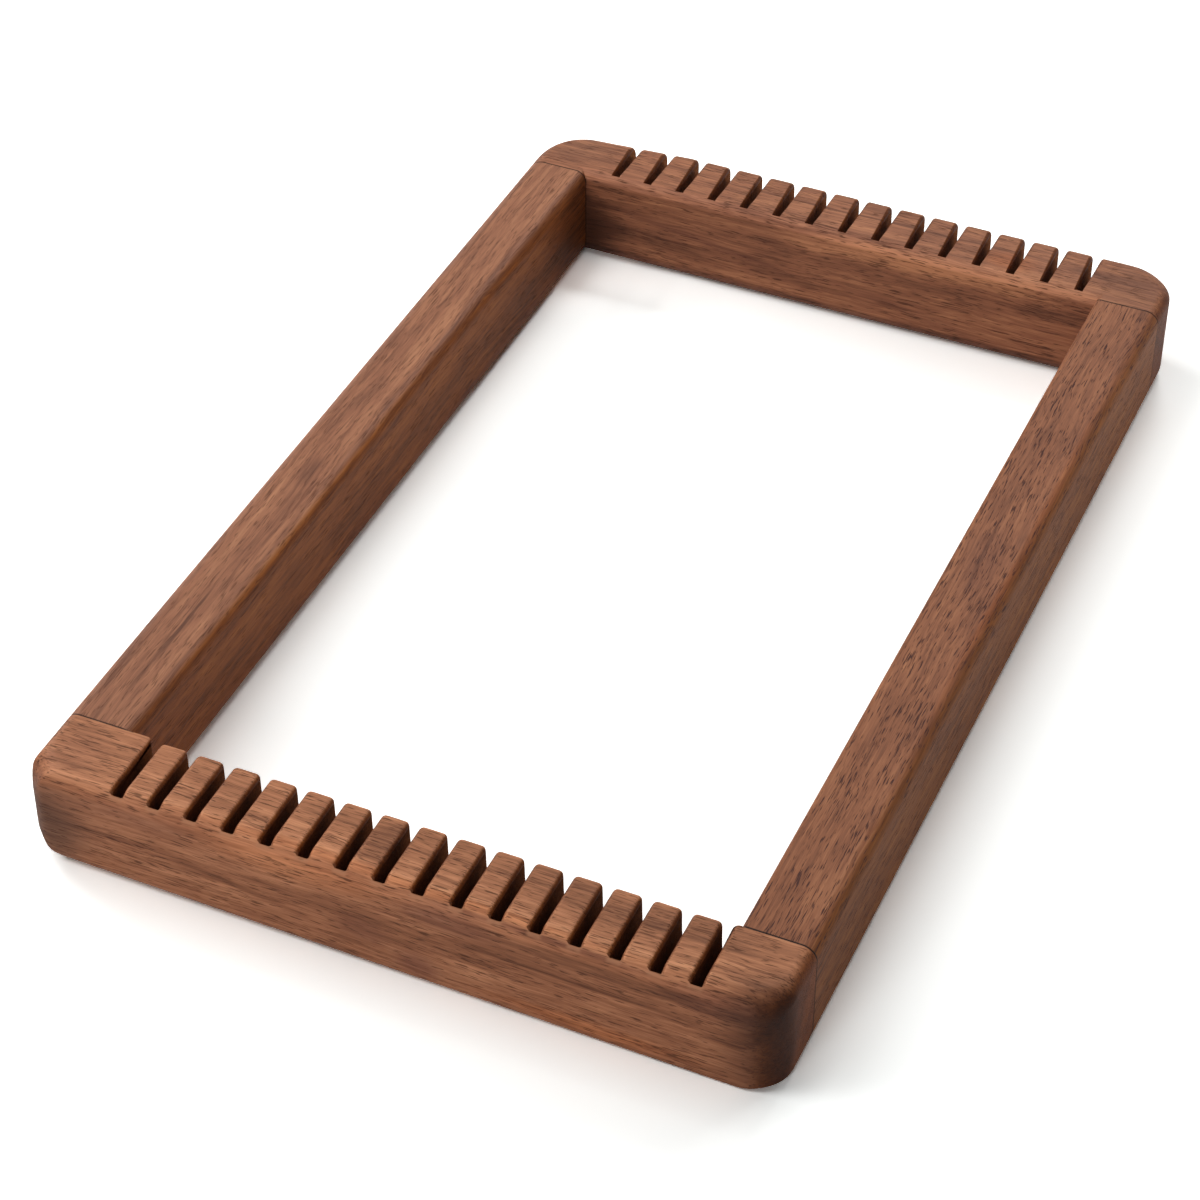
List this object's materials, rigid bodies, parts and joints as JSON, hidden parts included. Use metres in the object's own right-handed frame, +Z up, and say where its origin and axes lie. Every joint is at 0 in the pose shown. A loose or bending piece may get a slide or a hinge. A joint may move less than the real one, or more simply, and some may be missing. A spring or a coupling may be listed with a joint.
{
  "type": "notched frame loom",
  "caption": "Small rectangular walnut frame loom: two notched end rails and two plain side rails, dowelled at rounded corners around an open weaving window.",
  "frame": {"origin": "on the resting plane, under the middle of the frame", "axes": "+Z up, +Y along the side rails from the near notched rail to the far one, +X along the notched rails"},
  "size_m": [0.2, 0.318, 0.03],
  "materials": {
    "near_rail_walnut": "oiled satin walnut, grain along X, end grain at the corners",
    "far_rail_walnut": "oiled satin walnut, grain along X, darker figured bands",
    "left_rail_walnut": "oiled satin walnut, straight grain along Y, lighter band on the inner top edge",
    "right_rail_walnut": "oiled satin walnut, straight grain along Y, orange band on the outer top edge",
    "dowel_beech": "plain fluted beech"
  },
  "bodies": {
    "root": {"near_notched_rail": "near_rail_walnut", "far_notched_rail": "far_rail_walnut", "left_side_rail": "left_rail_walnut", "right_side_rail": "right_rail_walnut", "near_left_lower_dowel": "dowel_beech", "near_left_upper_dowel": "dowel_beech", "near_right_lower_dowel": "dowel_beech", "near_right_upper_dowel": "dowel_beech", "far_left_lower_dowel": "dowel_beech", "far_left_upper_dowel": "dowel_beech", "far_right_lower_dowel": "dowel_beech", "far_right_upper_dowel": "dowel_beech"}
  },
  "joints": []
}
